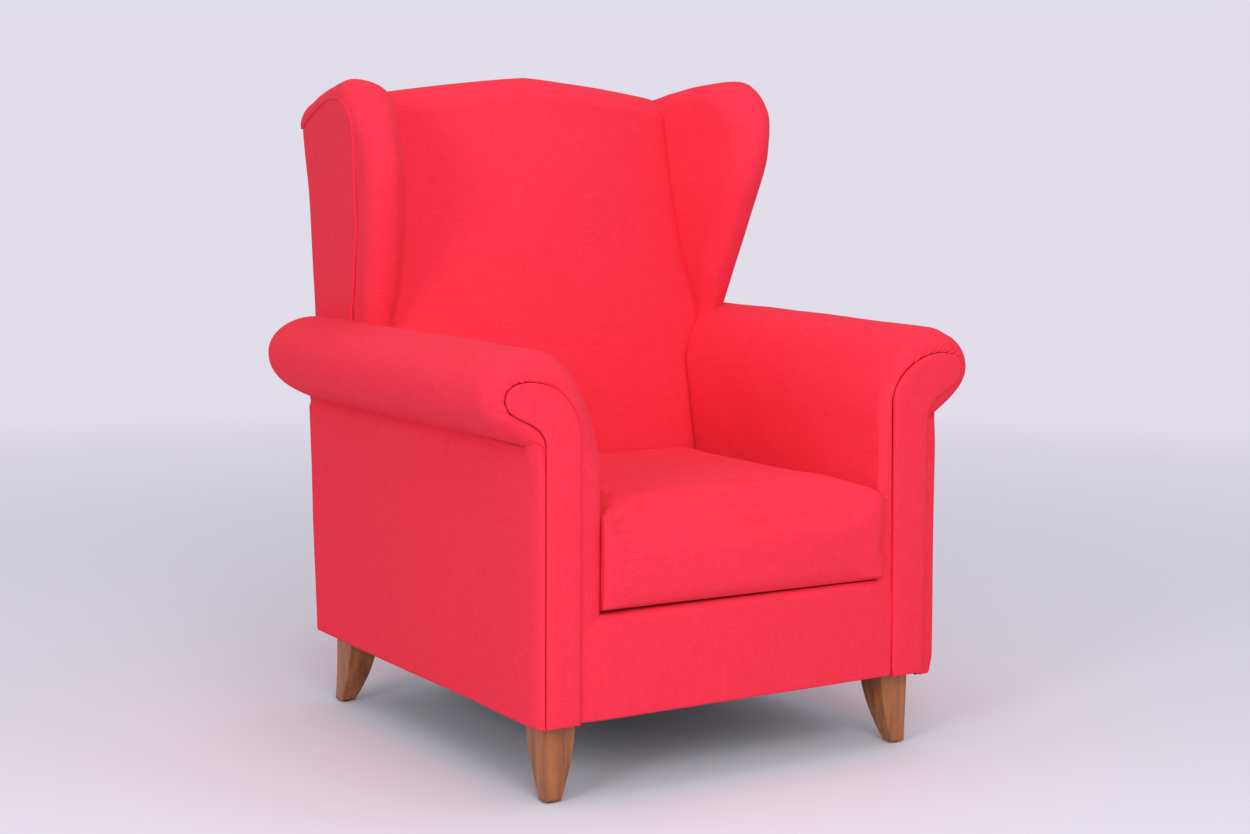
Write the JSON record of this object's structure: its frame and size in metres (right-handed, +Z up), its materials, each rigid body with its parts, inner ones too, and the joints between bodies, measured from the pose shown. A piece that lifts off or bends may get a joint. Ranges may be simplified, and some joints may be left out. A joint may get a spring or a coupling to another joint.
{
  "type": "fireside chair",
  "caption": "Upholstered wing armchair with scroll arms, a camel-topped back, a loose seat cushion and swept wooden legs.",
  "frame": {"origin": "on the floor under the middle of the chair's overall box", "axes": "+Z up; the sitter looks along -Y; +X is the chair's right-hand side as seen from the front"},
  "size_m": [0.912, 0.9012, 1.1],
  "materials": {
    "cover_fabric": "matt fine weave, coral red",
    "black_lining": "thin black non-woven cloth",
    "hessian": "coarse open weave",
    "foam": "soft upholstery foam and wadding",
    "frame_wood": "planed beech, unfinished",
    "leg_wood": "satin lacquer, mid brown",
    "spring_wire": "bright drawn wire",
    "bolt_steel": "zinc plated",
    "zip_metal": "nickel plated",
    "glide_plastic": "black nylon"
  },
  "bodies": {
    "chair": {"front_seat_rail": "frame_wood", "seat_cross_rail": "frame_wood", "back_seat_rail": "frame_wood", "left_seat_rail": "frame_wood", "right_seat_rail": "frame_wood", "left_corner_block": "frame_wood", "right_corner_block": "frame_wood", "left_back_upright": "frame_wood", "right_back_upright": "frame_wood", "back_top_rail": "frame_wood", "left_arm_front_board": "frame_wood", "right_arm_front_board": "frame_wood", "left_arm_rail": "frame_wood", "right_arm_rail": "frame_wood", "left_wing_board": "frame_wood", "right_wing_board": "frame_wood", "seat_spring_1": "spring_wire", "seat_spring_2": "spring_wire", "seat_spring_3": "spring_wire", "seat_spring_4": "spring_wire", "seat_hessian": "hessian", "back_hessian": "hessian", "seat_deck_pad": "foam", "back_pad": "foam", "left_arm_pad": "foam", "right_arm_pad": "foam", "left_wing_pad": "foam", "right_wing_pad": "foam", "inside_back_cover": "cover_fabric", "outside_back_panel": "cover_fabric", "left_arm_cover": "cover_fabric", "right_arm_cover": "cover_fabric", "left_arm_front_panel": "cover_fabric", "right_arm_front_panel": "cover_fabric", "left_outside_arm_panel": "cover_fabric", "right_outside_arm_panel": "cover_fabric", "left_wing_cover": "cover_fabric", "right_wing_cover": "cover_fabric", "left_wing_outer_panel": "cover_fabric", "right_wing_outer_panel": "cover_fabric", "left_wing_piping": "cover_fabric", "right_wing_piping": "cover_fabric", "front_border_cover": "cover_fabric", "deck_cover": "cover_fabric", "dust_cover": "black_lining", "left_front_leg": "leg_wood", "right_front_leg": "leg_wood", "left_rear_leg": "leg_wood", "right_rear_leg": "leg_wood", "left_front_leg_bolt": "bolt_steel", "right_front_leg_bolt": "bolt_steel", "left_rear_leg_bolt": "bolt_steel", "right_rear_leg_bolt": "bolt_steel", "left_front_glide": "glide_plastic", "right_front_glide": "glide_plastic", "left_rear_glide": "glide_plastic", "right_rear_glide": "glide_plastic"},
    "seat_cushion": {"seat_cushion_cover": "cover_fabric", "seat_cushion_foam": "foam"},
    "zip_slider": {"cushion_zip_slider": "zip_metal"}
  },
  "joints": [
    {"name": "cushion_lift", "type": "slide", "parent": "chair", "child": "seat_cushion", "axis": [0, 0, 1], "range_m": [0, 0.25]},
    {"name": "zip_travel", "type": "slide", "parent": "seat_cushion", "child": "zip_slider", "axis": [1, 0, 0], "range_m": [0, 0.385]}
  ]
}
